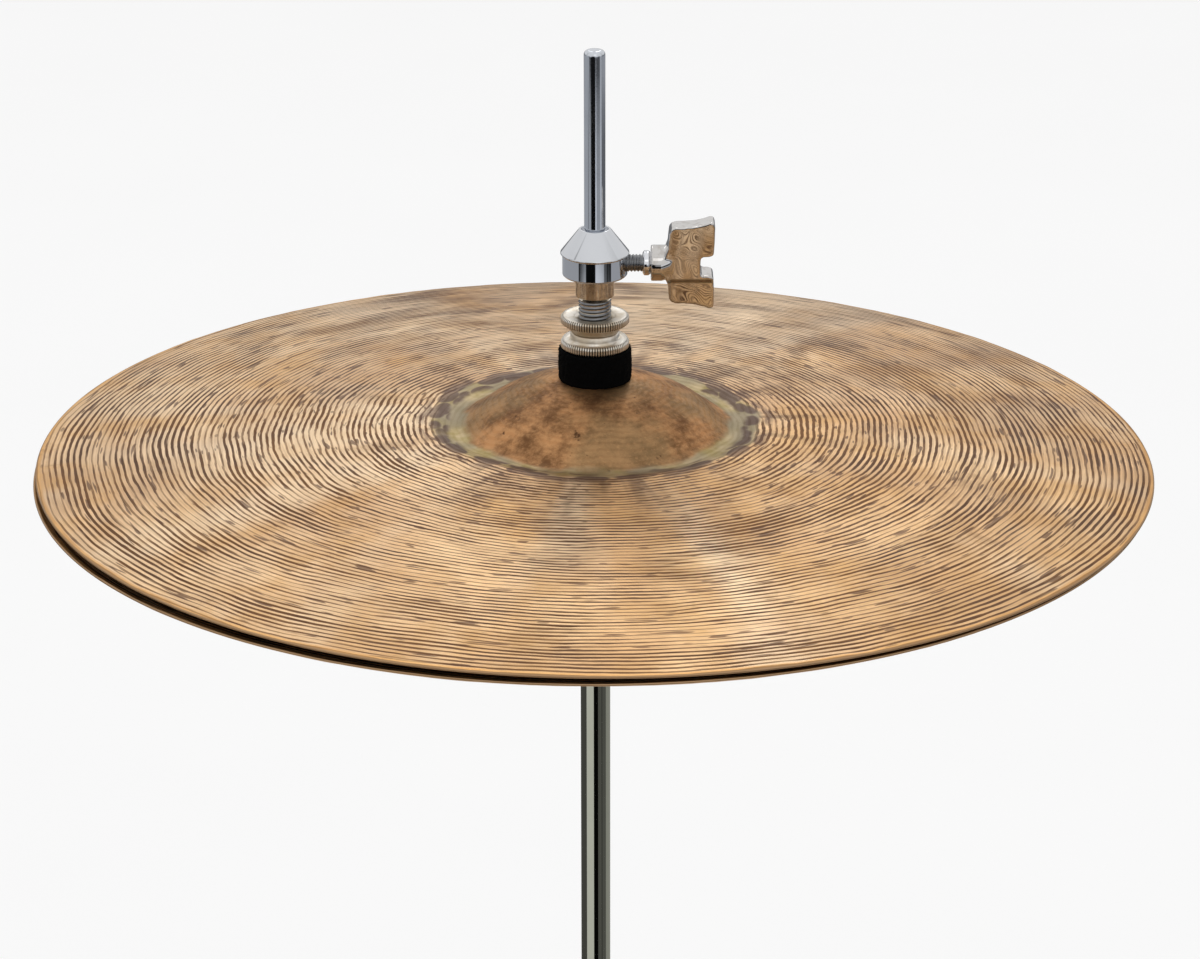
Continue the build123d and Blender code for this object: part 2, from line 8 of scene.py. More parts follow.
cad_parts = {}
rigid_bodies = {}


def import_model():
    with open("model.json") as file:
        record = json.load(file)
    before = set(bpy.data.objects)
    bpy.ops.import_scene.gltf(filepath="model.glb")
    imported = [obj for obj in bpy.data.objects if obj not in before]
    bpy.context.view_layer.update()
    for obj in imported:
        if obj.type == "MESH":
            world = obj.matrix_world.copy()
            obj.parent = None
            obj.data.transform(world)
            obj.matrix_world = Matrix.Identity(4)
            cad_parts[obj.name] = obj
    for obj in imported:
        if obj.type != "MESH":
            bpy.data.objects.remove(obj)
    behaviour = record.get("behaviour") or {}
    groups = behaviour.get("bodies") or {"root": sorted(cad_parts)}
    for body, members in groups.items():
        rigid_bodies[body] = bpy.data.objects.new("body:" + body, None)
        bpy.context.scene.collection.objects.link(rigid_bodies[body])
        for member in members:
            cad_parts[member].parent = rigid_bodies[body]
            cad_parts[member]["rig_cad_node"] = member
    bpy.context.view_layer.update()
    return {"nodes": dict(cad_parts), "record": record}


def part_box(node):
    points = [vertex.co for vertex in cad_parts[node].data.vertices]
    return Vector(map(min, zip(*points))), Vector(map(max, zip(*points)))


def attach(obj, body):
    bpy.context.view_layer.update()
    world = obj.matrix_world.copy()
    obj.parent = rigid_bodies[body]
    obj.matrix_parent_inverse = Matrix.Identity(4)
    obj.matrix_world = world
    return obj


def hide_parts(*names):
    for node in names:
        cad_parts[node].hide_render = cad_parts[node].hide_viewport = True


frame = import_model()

# Looks of the hi hat. Metres, in the CAD model's frame. Lengths written in millimetres carry * MM.
MM = 0.001
RIM_Z = 0.850               # the top cymbal's rim plane
RIM_CENTRE = Vector((0, 0, RIM_Z))


# ---------------------------------------------------------------- node material helpers
def linear(r, g, b):
    """Linear colour from the 0 to 255 values of a swatch."""
    shares = [c / 255 for c in (r, g, b)]
    return tuple(c / 12.92 if c < 10 / 255 else ((c + 0.055) / 1.055) ** 2.4 for c in shares) + (1.0,)


class Nodes:
    """A small builder for node trees. Every value can be a number, a tuple or another node's output."""

    def __init__(self, tree):
        self.tree = tree
        tree.nodes.clear()

    def node(self, kind, **settings):
        made = self.tree.nodes.new(kind)
        for key, value in settings.items():
            setattr(made, key, value)
        return made

    def put(self, socket, value):
        if isinstance(value, bpy.types.NodeSocket):
            self.tree.links.new(value, socket)
        else:
            socket.default_value = value

    def math(self, operation, a, b=0.0):
        made = self.node("ShaderNodeMath", operation=operation)
        for socket, value in zip(made.inputs, (a, b)):
            self.put(socket, value)
        return made.outputs[0]

    def vector(self, operation, a, b):
        made = self.node("ShaderNodeVectorMath", operation=operation)
        self.put(made.inputs[0], a)
        self.put(made.inputs[1], b)
        return made.outputs[0]

    def combine(self, x, y, z):
        made = self.node("ShaderNodeCombineXYZ")
        for socket, value in zip(made.inputs, (x, y, z)):
            self.put(socket, value)
        return made.outputs[0]

    def split(self, vector):
        made = self.node("ShaderNodeSeparateXYZ")
        self.put(made.inputs[0], vector)
        return made.outputs

    def place(self):
        return self.node("ShaderNodeTexCoord").outputs["Object"]

    def noise(self, vector, scale=1.0, detail=3.0, rough=0.55, distortion=0.0):
        made = self.node("ShaderNodeTexNoise")
        self.put(made.inputs["Vector"], vector)
        self.put(made.inputs["Scale"], scale)
        self.put(made.inputs["Detail"], detail)
        self.put(made.inputs["Roughness"], rough)
        self.put(made.inputs["Distortion"], distortion)
        return made.outputs[0]

    def cells(self, vector, randomness=1.0):
        made = self.node("ShaderNodeTexVoronoi")
        self.put(made.inputs["Vector"], vector)
        self.put(made.inputs["Scale"], 1.0)
        self.put(made.inputs["Randomness"], randomness)
        return made.outputs["Distance"]

    def fade(self, value, low, high, to_low=0.0, to_high=1.0):
        """Smooth step from to_low at low to to_high at high."""
        made = self.node("ShaderNodeMapRange", interpolation_type="SMOOTHSTEP")
        for socket, number in zip(made.inputs, (value, low, high, to_low, to_high)):
            self.put(socket, number)
        return made.outputs[0]

    def mix(self, amount, a, b):
        """Colour a where amount is 0, and b where it is 1. The numbers are the mix node's colour sockets."""
        made = self.node("ShaderNodeMix", data_type="RGBA")
        self.put(made.inputs[0], amount)
        self.put(made.inputs[6], a)
        self.put(made.inputs[7], b)
        return made.outputs[2]

    def bump(self, height, distance, strength):
        made = self.node("ShaderNodeBump")
        self.put(made.inputs["Height"], height)
        self.put(made.inputs["Distance"], distance)
        self.put(made.inputs["Strength"], strength)
        return made.outputs[0]


class Shader(Nodes):
    """A node material with one principled surface."""

    def __init__(self, name):
        self.material = bpy.data.materials.new(name)
        self.material.use_nodes = True
        super().__init__(self.material.node_tree)
        self.output = self.node("ShaderNodeOutputMaterial")
        self.bsdf = self.node("ShaderNodeBsdfPrincipled")
        self.tree.links.new(self.bsdf.outputs[0], self.output.inputs[0])

    def set(self, name, value):
        self.put(self.bsdf.inputs[name], value)


# ---------------------------------------------------------------- the cymbals' shape
CYMBAL_R = 177.8 * MM
CYMBAL_T = 0.9 * MM
EDGE_R = 0.45 * MM
BOW_RISE = 11.0 * MM
FLARE_R = 51.5 * MM
BELL_R = 39.2 * MM
BELL_FOOT = 13.0 * MM
BELL_RISE = 26.6 * MM
HOLE_R = 6.2 * MM
TOP_TILT = (-0.45, 0.50)    # degrees about X and Y
BOTTOM_TILT = (-0.45, 0.20)
BOTTOM_PLACE = Vector((-0.8, 0, 846.85)) * MM
LATHE_PITCH = 1.95 * MM
LATHE_START = 54.0 * MM
LATHE_END = 176.0 * MM


def smooth(value, low, high):
    t = np.clip((value - low) / (high - low), 0, 1)
    return t * t * (3 - 2 * t)


def section_height(r):
    """The height of the cymbal's outer surface above the rim plane at radius r."""
    bow = (CYMBAL_R ** 2 - r ** 2) * BOW_RISE / (CYMBAL_R ** 2 - FLARE_R ** 2)
    rise = BELL_RISE - BELL_FOOT
    dome_radius = (BELL_R ** 2 + rise ** 2) / (2 * rise)
    dome = BELL_RISE - dome_radius + np.sqrt(np.maximum(dome_radius ** 2 - r ** 2, 0))
    share = smooth(r, BELL_R - 5 * MM, FLARE_R)
    return np.where(share > 0, dome * (1 - share) + bow * share, dome)


def waves(x, y, scale, seed, count=18):
    """Smooth noise between about -1 and 1, as a sum of plane waves."""
    rng = np.random.RandomState(seed)
    total = np.zeros_like(x)
    for _ in range(count):
        angle = rng.uniform(0, 2 * math.pi)
        length = scale * rng.uniform(0.7, 1.6)
        phase = rng.uniform(0, 2 * math.pi)
        total += np.sin((x * math.cos(angle) + y * math.sin(angle)) * 2 * math.pi / length + phase)
    return total / math.sqrt(count)


def relief(r, angle, seed):
    """Hammer marks and lathe grooves, as a height added to the surface."""
    x, y = r * np.cos(angle), r * np.sin(angle)
    hammer = waves(x, y, 26 * MM, seed) * 0.07 * MM + waves(x, y, 11 * MM, seed + 1) * 0.018 * MM
    wander = waves(x, y, 90 * MM, seed + 2) * 0.14
    depth = 0.050 * MM * (1 + 0.5 * waves(x, y, 40 * MM, seed + 3))
    lathed = smooth(r, LATHE_START, LATHE_START + 2 * MM) * (1 - smooth(r, LATHE_END - 2 * MM, LATHE_END))
    grooves = np.cos(2 * math.pi * (r / LATHE_PITCH + wander)) * depth * lathed
    bell = waves(x, y, 7 * MM, seed + 4) * 0.03 * MM * (1 - lathed)
    return hammer * smooth(r, HOLE_R, BELL_R) + grooves + bell


def closed_grid(name, rings, columns, wrap_rings):
    """A mesh from rings of points: rings is an array of (ring, column, xyz), closed round each ring."""
    ring_count = len(rings)
    mesh = bpy.data.meshes.new(name)
    faces = []
    last = ring_count if wrap_rings else ring_count - 1
    for i in range(last):
        below = (i + 1) % ring_count
        for j in range(columns):
            side = (j + 1) % columns
            faces.append((i * columns + j, i * columns + side, below * columns + side, below * columns + j))
    mesh.from_pydata(rings.reshape(-1, 3).tolist(), [], faces)
    mesh.update()
    mesh.shade_smooth()
    return mesh


def new_object(name, mesh, material):
    made = bpy.data.objects.new(name, mesh)
    bpy.context.scene.collection.objects.link(made)
    if material is not None:
        mesh.materials.clear()
        mesh.materials.append(material)
    return made


def cymbal_mesh(name, columns, samples, seed):
    """One cymbal, bell up, its rim plane at z = 0, as a closed mesh with lathed faces and a rounded rim."""
    step = LATHE_PITCH / samples
    bell = np.linspace(HOLE_R, LATHE_START, 40, endpoint=False)
    bow = np.arange(LATHE_START, LATHE_END + 0.5 * MM, step)
    edge = np.linspace(LATHE_END + 0.5 * MM + step, CYMBAL_R - 0.5 * MM, 4)
    top_r = np.concatenate([bell, bow, edge])
    angle = np.linspace(0, 2 * math.pi, columns, endpoint=False)[None, :]
    top_z = section_height(top_r)[:, None] + relief(top_r[:, None], angle, seed)
    under_z = section_height(top_r)[:, None] - CYMBAL_T + relief(top_r[:, None], angle, seed + 40)
    middle_z = section_height(np.array([CYMBAL_R]))[0] - CYMBAL_T / 2
    rim = []
    for turn in (-50, -17, 17, 50):
        a = math.radians(turn)
        rim.append((CYMBAL_R + EDGE_R * (math.cos(a) - 1), middle_z - EDGE_R * math.sin(a)))
    ones = np.ones_like(angle)
    rim_r = [np.array([[r]]) * ones for r, _ in rim]
    rings_r = np.concatenate([top_r[:, None] * ones] + rim_r + [top_r[::-1, None] * ones])
    rings_z = np.concatenate([top_z] + [np.array([[z]]) * ones for _, z in rim] + [under_z[::-1]])
    points = np.stack([rings_r * np.cos(angle), rings_r * np.sin(angle), rings_z], -1)
    return closed_grid(name, points, columns, wrap_rings=True)


# ---------------------------------------------------------------- materials
NUT_R = 10.85               # millimetres, as are the three lengths that follow
NUT_BORE = 5.32
NUT_EDGE = 0.55
KNURL_DEPTH = 0.42
KNURL_TEETH = 78
# radius past which the knurl's valleys get grime and painted shade
NUT_GRIME_AND_SHADE_R = 9.9 * MM


def bronze(seed):
    """Hand-lathed bronze: light turned bands with dark broken lines, a raw bell and a polished edge."""
    s = Shader("lathed_bronze_%d" % seed)
    place = s.place()
    x, y, _ = s.split(place)
    r = s.math("SQRT", s.math("ADD", s.math("MULTIPLY", x, x), s.math("MULTIPLY", y, y)))
    r_mm = s.math("MULTIPLY", r, 1000.0)
    safe = s.math("MAXIMUM", r, 1e-4)
    cos_a = s.math("DIVIDE", x, safe)
    sin_a = s.math("DIVIDE", y, safe)

    def ringed(radial_mm, around, shift=0.0):
        """A place in noise space: a unit is radial_mm across and 1/around of a radian along the turning."""
        return s.combine(
            s.math("MULTIPLY", cos_a, around),
            s.math("MULTIPLY", sin_a, around),
            s.math("ADD", s.math("MULTIPLY", r_mm, 1.0 / radial_mm), shift + seed * 7.3),
        )

    def surface(scale_mm, shift=0.0, **settings):
        moved = s.vector("ADD", place, (shift + seed, shift * 0.7, 0.0))
        return s.noise(moved, scale=1000.0 / scale_mm, **settings)

    # the turned bands: a slowly wandering wave across the radius
    wander = s.math("MULTIPLY", s.math("SUBTRACT", s.noise(ringed(34.0, 2.6), detail=1.0), 0.5), 2.6)
    jitter = s.math("MULTIPLY", s.math("SUBTRACT", s.noise(ringed(5.0, 13.0, 3.1), detail=2.0), 0.5), 0.42)
    turns = s.math("ADD", s.math("DIVIDE", r_mm, LATHE_PITCH * 1000), s.math("ADD", wander, jitter))
    wave = s.math("COSINE", s.math("MULTIPLY", turns, 2 * math.pi))
    zone = s.noise(ringed(11.0, 0.9, 9.0), detail=2.0, rough=0.6)
    strength = s.noise(ringed(6.0, 4.5, 19.0), detail=3.0, rough=0.6)
    streaks = s.noise(ringed(1.1, 7.5, 5.0), detail=2.0, rough=0.55)
    weight = s.math("ADD", s.math("MULTIPLY", zone, 0.70), s.math("MULTIPLY", strength, 0.85))
    weight = s.math("ADD", weight, s.math("MULTIPLY", streaks, 0.78))
    weight = s.fade(weight, 0.82, 1.48)
    threshold = s.math("SUBTRACT", 0.78, s.math("MULTIPLY", weight, 1.02))
    line = s.fade(s.math("SUBTRACT", wave, threshold), -0.22, 0.30)
    fine = s.fade(s.noise(ringed(0.42, 9.0, 1.7), detail=2.0), 0.36, 0.66)

    # dark dashes and burnt spots that lie along the turning
    dash = s.fade(s.noise(ringed(1.5, 11.0, 21.0), detail=1.0, rough=0.4), 0.65, 0.70)
    spot = s.fade(s.cells(ringed(4.2, 12.0, 33.0), randomness=1.0), 0.17, 0.11)
    spot = s.math("MULTIPLY", spot, s.fade(s.noise(ringed(22.0, 4.0, 2.0), detail=1.0), 0.56, 0.62))

    # colour fields of the whole face
    broad = surface(70.0, detail=4.0, rough=0.6)
    patch = surface(24.0, shift=0.31, detail=5.0, rough=0.62)
    # painted highlight and painted shade: broad wedges round the face, paler in some and darker in others
    painted_light_wedge = s.noise(ringed(260.0, 2.6, 12.0), detail=2.0)
    light = s.mix(s.fade(broad, 0.36, 0.64), linear(215, 175, 131), linear(242, 207, 163))
    # painted shade: the front-right side is tinted warmer and a little darker
    painted_warm_side = s.math("SUBTRACT", s.math("MULTIPLY", cos_a, 0.4), s.math("MULTIPLY", sin_a, 0.85))
    orange = s.mix(s.fade(broad, 0.36, 0.64), linear(212, 168, 116), linear(238, 198, 146))
    light = s.mix(s.fade(painted_warm_side, 0.1, 0.95, 0.0, 0.8), light, orange)
    light = s.mix(s.fade(patch, 0.44, 0.70, 0.0, 0.55), light, linear(218, 172, 110))
    light = s.mix(s.fade(painted_light_wedge, 0.50, 0.66, 0.0, 0.5), light, linear(252, 230, 198))
    light = s.mix(s.fade(painted_light_wedge, 0.44, 0.28, 0.0, 0.35), light, linear(184, 144, 104))
    light = s.mix(s.math("MULTIPLY", fine, 0.22), light, linear(160, 124, 88))
    dark = s.mix(s.fade(patch, 0.35, 0.65), linear(92, 63, 42), linear(124, 87, 55))
    amount = s.math("MULTIPLY", line, s.fade(weight, 0.05, 0.75, 0.56, 1.0))
    turned = s.mix(amount, light, dark)
    blotch = s.fade(surface(17.0, shift=1.7, detail=4.0, rough=0.7, distortion=0.6), 0.60, 0.76)
    turned = s.mix(s.math("MULTIPLY", blotch, 0.34), turned, linear(134, 98, 60))
    turned = s.mix(s.math("MULTIPLY", dash, 0.78), turned, linear(98, 66, 44))
    turned = s.mix(s.math("MULTIPLY", spot, 0.58), turned, linear(108, 78, 56))
    # painted shade: dark radial streaks on the turned face near the bell
    near_bell = s.fade(r_mm, 92.0, 56.0)
    front = s.fade(s.noise(ringed(60.0, 7.0, 4.4), detail=2.0), 0.50, 0.66)
    painted_shade_near_bell = s.math("MULTIPLY", s.math("MULTIPLY", near_bell, front), 0.62)
    turned = s.mix(painted_shade_near_bell, turned, linear(92, 62, 38))

    # raw bell with casting skin and pits
    skin = surface(9.0, shift=2.2, detail=6.0, rough=0.68)
    broad_skin = surface(28.0, shift=4.0, detail=3.0)
    bell = s.mix(s.fade(skin, 0.34, 0.66), linear(120, 84, 54), linear(200, 150, 102))
    bell = s.mix(s.fade(broad_skin, 0.42, 0.62, 0.0, 0.6), bell, linear(150, 124, 88))
    pits = s.fade(surface(3.2, shift=5.5, detail=4.0, rough=0.6), 0.64, 0.74)
    bell = s.mix(s.math("MULTIPLY", pits, 0.8), bell, linear(70, 44, 28))
    scale_skin = s.fade(surface(1.2, shift=6.6, detail=3.0), 0.50, 0.75)
    bell = s.mix(s.math("MULTIPLY", scale_skin, 0.30), bell, linear(206, 160, 112))

    # greenish flare round the bell, scalloped with grey-purple burns
    tarnish = s.fade(surface(8.0, shift=8.8, detail=4.0), 0.36, 0.64)
    ring = s.mix(tarnish, linear(168, 150, 98), linear(196, 176, 138))
    greyed = s.fade(surface(30.0, shift=9.3, detail=2.0), 0.42, 0.58, 0.0, 0.8)
    ring = s.mix(greyed, ring, linear(150, 138, 116))
    sway = s.math("MULTIPLY", s.math("SUBTRACT", surface(16.0, shift=3.3, detail=3.0), 0.5), 9.0)
    toward_front = s.fade(sin_a, -0.5, -1.0, 0.0, 1.7)
    r_sway = s.math("ADD", s.math("ADD", r_mm, sway), toward_front)
    burn_cells = s.cells(ringed(5.2, 5.0, 0.4), randomness=0.9)
    burn = s.fade(burn_cells, 0.62, 0.48)
    burn_band = s.math("MULTIPLY", s.fade(r_sway, 46.0, 48.5), s.fade(r_sway, 58.0, 54.0))
    burn = s.math("MULTIPLY", burn, burn_band)
    burn = s.math("MULTIPLY", burn, s.fade(surface(26.0, shift=7.7, detail=2.0), 0.20, 0.38))
    ring = s.mix(s.math("MULTIPLY", burn, 0.9), ring, s.mix(skin, linear(84, 58, 44), linear(116, 98, 92)))

    lathed = s.fade(r_sway, 50.5, 53.5)
    body = s.mix(s.fade(s.math("SUBTRACT", s.math("ADD", r_mm, sway), toward_front), 40.5, 43.5), bell, ring)
    body = s.mix(lathed, body, s.mix(s.math("MULTIPLY", burn, 0.7), turned, linear(98, 72, 58)))

    # polished orange edge
    edge = s.mix(s.fade(patch, 0.4, 0.65), linear(210, 158, 94), linear(230, 182, 118))
    edge = s.mix(s.math("MULTIPLY", line, 0.55), edge, linear(128, 90, 56))
    edge = s.mix(s.math("MULTIPLY", blotch, 0.5), edge, linear(150, 104, 62))
    rim = s.fade(s.math("ADD", r_mm, s.math("MULTIPLY", jitter, 3.0)), 175.7, 177.0)
    body = s.mix(s.math("MULTIPLY", rim, 0.9), body, edge)
    # the thin outer edge: grey-brown, partly its own tone and partly painted light lifted against the shade
    # at the rim
    body = s.mix(s.fade(r_mm, 177.2, 177.5), body, linear(176, 142, 106))
    s.set("Base Color", body)

    rough = s.math("ADD", s.fade(patch, 0.3, 0.7, 0.34, 0.46), s.math("MULTIPLY", amount, 0.12))
    rough = s.math("ADD", rough, s.fade(lathed, 1.0, 0.0, 0.0, 0.10))
    s.set("Roughness", rough)
    s.set("Metallic", 0.96)
    s.set("Anisotropic", 0.55)
    s.set("Tangent", s.node("ShaderNodeTangent", direction_type="RADIAL", axis="Z").outputs[0])
    height = s.math("ADD", s.math("MULTIPLY", fine, 0.35), s.math("MULTIPLY", line, -0.9))
    height = s.math("MULTIPLY", height, s.math("MULTIPLY", lathed, s.fade(rim, 1.0, 0.0)))
    grain = s.math("ADD", s.math("MULTIPLY", skin, 2.0), s.math("MULTIPLY", pits, -2.6))
    grain = s.math("MULTIPLY", grain, s.fade(lathed, 1.0, 0.0))
    s.set("Normal", s.bump(s.math("ADD", height, grain), 0.00005, 0.8))
    return s.material


def darker(tint, share):
    return tuple(c * share for c in tint[:3]) + (1.0,)


def polished(name, tint, rough, scratches=0.03):
    """Bright metal with faint smudges, pits and handling scratches."""
    s = Shader(name)
    place = s.place()
    smudge = s.noise(place, scale=60.0, detail=4.0, rough=0.6)
    fine = s.noise(s.vector("MULTIPLY", place, (1.0, 1.0, 6.0)), scale=900.0, detail=3.0)
    s.set("Base Color", s.mix(s.fade(smudge, 0.35, 0.7, 0.0, 0.35), tint, darker(tint, 0.86)))
    s.set("Metallic", 1.0)
    worn = s.fade(smudge, 0.3, 0.75, rough, rough * 1.9 + 0.02)
    s.set("Roughness", s.math("ADD", worn, s.math("MULTIPLY", fine, scratches)))
    s.set("Normal", s.bump(fine, 0.00002, 0.12))
    return s.material


def cast_chrome(name, tint, worn):
    """Chrome over a casting: streaks from the polishing wheel run up and down it."""
    s = Shader(name)
    place = s.place()
    streaks = s.noise(s.vector("MULTIPLY", place, (1.0, 1.0, 0.16)), scale=420.0, detail=3.0, rough=0.5)
    cloud = s.noise(place, scale=90.0, detail=2.0)
    tone = s.mix(s.fade(streaks, 0.48, 0.66, 0.0, 0.40), tint, worn)
    s.set("Base Color", s.mix(s.fade(cloud, 0.50, 0.75, 0.0, 0.15), tone, worn))
    s.set("Metallic", 1.0)
    s.set("Roughness", s.fade(streaks, 0.3, 0.7, 0.02, 0.05))
    s.set("Normal", s.bump(streaks, 0.000002, 0.05))
    return s.material


def collar_chrome(tint, rough, lean, low_z):
    """Chrome on the clutch body. The wall above low_z is finished slightly conical, so it mirrors the room
    over the cymbal, and the barrel below it is duller."""
    s = Shader("collar_chrome")
    place = s.place()
    height = s.split(place)[2]
    smudge = s.noise(place, scale=90.0, detail=4.0, rough=0.6)
    tone = s.mix(s.fade(smudge, 0.4, 0.75, 0.0, 0.3), tint, darker(tint, 0.88))
    streaks = s.noise(s.vector("MULTIPLY", place, (1.0, 1.0, 0.05)), scale=330.0, detail=3.0)
    barrel = s.mix(s.fade(streaks, 0.40, 0.60), linear(190, 184, 176), linear(146, 136, 124))
    s.set("Base Color", s.mix(s.fade(height, low_z - 0.6 * MM, low_z - 0.3 * MM), barrel, tone))
    s.set("Metallic", 1.0)
    s.set("Roughness", s.fade(smudge, 0.3, 0.75, rough, rough * 1.4))
    cone = s.math("MULTIPLY", s.math("MAXIMUM", s.math("SUBTRACT", height, low_z), 0.0), -lean)
    s.set("Normal", s.bump(cone, 1.0, 1.0))
    return s.material


def satin(name, tint, warm, teeth=0):
    """Satin nickel plate: a soft warm sheen with fine turning lines, and grime and painted shade between the
    knurl's teeth.
    """
    s = Shader(name)
    place = s.place()
    cloud = s.noise(place, scale=160.0, detail=4.0, rough=0.6)
    lines = s.noise(s.vector("MULTIPLY", place, (0.3, 0.3, 9.0)), scale=700.0, detail=2.0)
    tone = s.mix(s.fade(cloud, 0.35, 0.7), tint, warm)
    if teeth:
        x, y, _ = s.split(place)
        r = s.math("SQRT", s.math("ADD", s.math("MULTIPLY", x, x), s.math("MULTIPLY", y, y)))
        turn = s.math("MULTIPLY", s.math("ARCTAN2", y, x), float(teeth))
        # grime and painted shade: the valleys between the knurl's teeth are darkened
        valley = s.fade(s.math("COSINE", turn), 0.1, -0.75)
        teeth_grime_and_shade = s.math("MULTIPLY", valley, s.fade(r, NUT_GRIME_AND_SHADE_R, NUT_GRIME_AND_SHADE_R + 0.2 * MM))
        tone = s.mix(s.math("MULTIPLY", teeth_grime_and_shade, 0.95), tone, linear(26, 22, 19))
    s.set("Base Color", tone)
    s.set("Metallic", 1.0)
    s.set("Roughness", s.math("ADD", s.fade(cloud, 0.3, 0.7, 0.26, 0.38), s.math("MULTIPLY", lines, 0.06)))
    s.set("Normal", s.bump(lines, 0.00003, 0.25))
    return s.material


def brushed_round(name, tint):
    """Drawn steel tube: long fine lines along its length."""
    s = Shader(name)
    place = s.place()
    drawn = s.noise(s.vector("MULTIPLY", place, (1.0, 1.0, 0.02)), scale=1500.0, detail=3.0)
    cloud = s.noise(place, scale=35.0, detail=4.0)
    s.set("Base Color", s.mix(s.fade(cloud, 0.35, 0.7, 0.0, 0.6), tint, darker(tint, 0.82)))
    s.set("Metallic", 1.0)
    s.set("Roughness", s.math("ADD", s.fade(cloud, 0.3, 0.7, 0.14, 0.20), s.math("MULTIPLY", drawn, 0.08)))
    s.set("Normal", s.bump(drawn, 0.00002, 0.2))
    return s.material


def felt(name, dark, light):
    """Pressed wool felt."""
    s = Shader(name)
    place = s.place()
    wool = s.noise(place, scale=1100.0, detail=6.0, rough=0.75, distortion=0.8)
    clump = s.noise(place, scale=260.0, detail=4.0, rough=0.6)
    s.set("Base Color", s.mix(s.math("MULTIPLY", wool, clump), dark, light))
    s.set("Roughness", s.fade(wool, 0.2, 0.8, 0.92, 1.0))
    s.set("Specular IOR Level", 0.05)
    s.set("Normal", s.bump(wool, 0.0004, 0.9))
    return s.material


def rubbery(name, tint, rough, grain):
    """Moulded rubber or plastic with a fine grain and dusty patches."""
    s = Shader(name)
    place = s.place()
    dust = s.noise(place, scale=45.0, detail=5.0, rough=0.6)
    fine = s.noise(place, scale=2200.0, detail=3.0)
    paler = tuple(min(1.0, c * 1.8 + 0.012) for c in tint[:3]) + (1.0,)
    s.set("Base Color", s.mix(s.fade(dust, 0.45, 0.75, 0.0, 0.7), tint, paler))
    s.set("Roughness", s.fade(dust, 0.3, 0.7, rough, rough + 0.12))
    s.set("Normal", s.bump(fine, grain, 0.35))
    return s.material


def powder_coat(name, tint):
    """Black powder coat with orange-peel texture and rubbed spots."""
    s = Shader(name)
    place = s.place()
    peel = s.noise(place, scale=700.0, detail=2.0)
    rub = s.noise(place, scale=24.0, detail=5.0, rough=0.65)
    s.set("Base Color", s.mix(s.fade(rub, 0.55, 0.8, 0.0, 0.6), tint, linear(62, 62, 64)))
    s.set("Roughness", s.fade(rub, 0.3, 0.7, 0.38, 0.52))
    s.set("Normal", s.bump(peel, 0.00012, 0.5))
    return s.material


def cast_metal(name, tint):
    """Tumbled aluminium casting."""
    s = Shader(name)
    place = s.place()
    skin = s.noise(place, scale=420.0, detail=5.0, rough=0.65)
    cloud = s.noise(place, scale=22.0, detail=4.0)
    s.set("Base Color", s.mix(s.fade(cloud, 0.35, 0.7), tint, darker(tint, 0.88)))
    s.set("Metallic", 1.0)
    s.set("Roughness", s.math("ADD", s.fade(cloud, 0.3, 0.7, 0.30, 0.36), s.math("MULTIPLY", skin, 0.08)))
    s.set("Normal", s.bump(skin, 0.00012, 0.4))
    return s.material


MATERIALS = {
    "bronze": bronze(1),
    "chrome": polished("chrome_plate", linear(224, 225, 228), 0.035),
    "polished_steel": brushed_round("drawn_steel", linear(206, 207, 205)),
    "satin_nickel": satin("satin_nickel", linear(208, 204, 196), linear(196, 184, 166)),
    "spring_steel": polished("spring_steel", linear(150, 150, 152), 0.22),
    "black_steel": powder_coat("black_powder_coat", linear(30, 30, 32)),
    "cast_alloy": cast_metal("cast_aluminium", linear(196, 197, 198)),
    "black_felt": felt("black_felt", linear(2, 2, 2), linear(14, 14, 15)),
    "grey_felt": felt("grey_felt", linear(84, 84, 82), linear(140, 138, 134)),
    "black_plastic": rubbery("black_nylon", linear(28, 28, 29), 0.42, 0.00004),
    "black_rubber": rubbery("black_rubber", linear(22, 22, 22), 0.62, 0.00010),
}
SLOT_OF = {entry["node"]: entry["material_slot"] for entry in frame["record"]["subparts"]}


def stand_for(piece, node, body):
    """piece is shown in place of a CAD node, and moves with its body."""
    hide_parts(node)
    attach(piece, body)
    return piece


# ---------------------------------------------------------------- turned pieces
def lathe(name, outline, material, columns=96, teeth=None):
    """A closed solid turned about Z from (radius, height) points in millimetres.

    teeth is (count, depth, low, high, outer): knurling on the wall of radius outer, from low to high."""
    angle = np.linspace(0, 2 * math.pi, columns, endpoint=False)
    rings = []
    for r, z in outline:
        radius = np.full(columns, float(r))
        if teeth is not None:
            count, depth, low, high, outer = teeth
            if low <= z <= high and r > outer - 0.02:
                radius = radius - depth * (0.5 - 0.5 * np.cos(angle * count)) ** 0.8
        rings.append(np.stack([radius * np.cos(angle), radius * np.sin(angle), np.full(columns, z)], -1))
    return new_object(name, closed_grid(name, np.array(rings) * MM, columns, wrap_rings=True), material)


def rounded(points, radius, steps=4):
    """The closed outline with each corner rounded by radius, or less where a side is short."""
    result = []
    count = len(points)
    for i in range(count):
        here = Vector(points[i])
        before, after = Vector(points[i - 1]) - here, Vector(points[(i + 1) % count]) - here
        reach = min(radius, before.length * 0.45, after.length * 0.45)
        a, b = here + before.normalized() * reach, here + after.normalized() * reach
        for k in range(steps + 1):
            t = k / steps
            p = a * (1 - t) ** 2 + here * 2 * t * (1 - t) + b * t ** 2
            result.append((p.x, p.y))
    return result


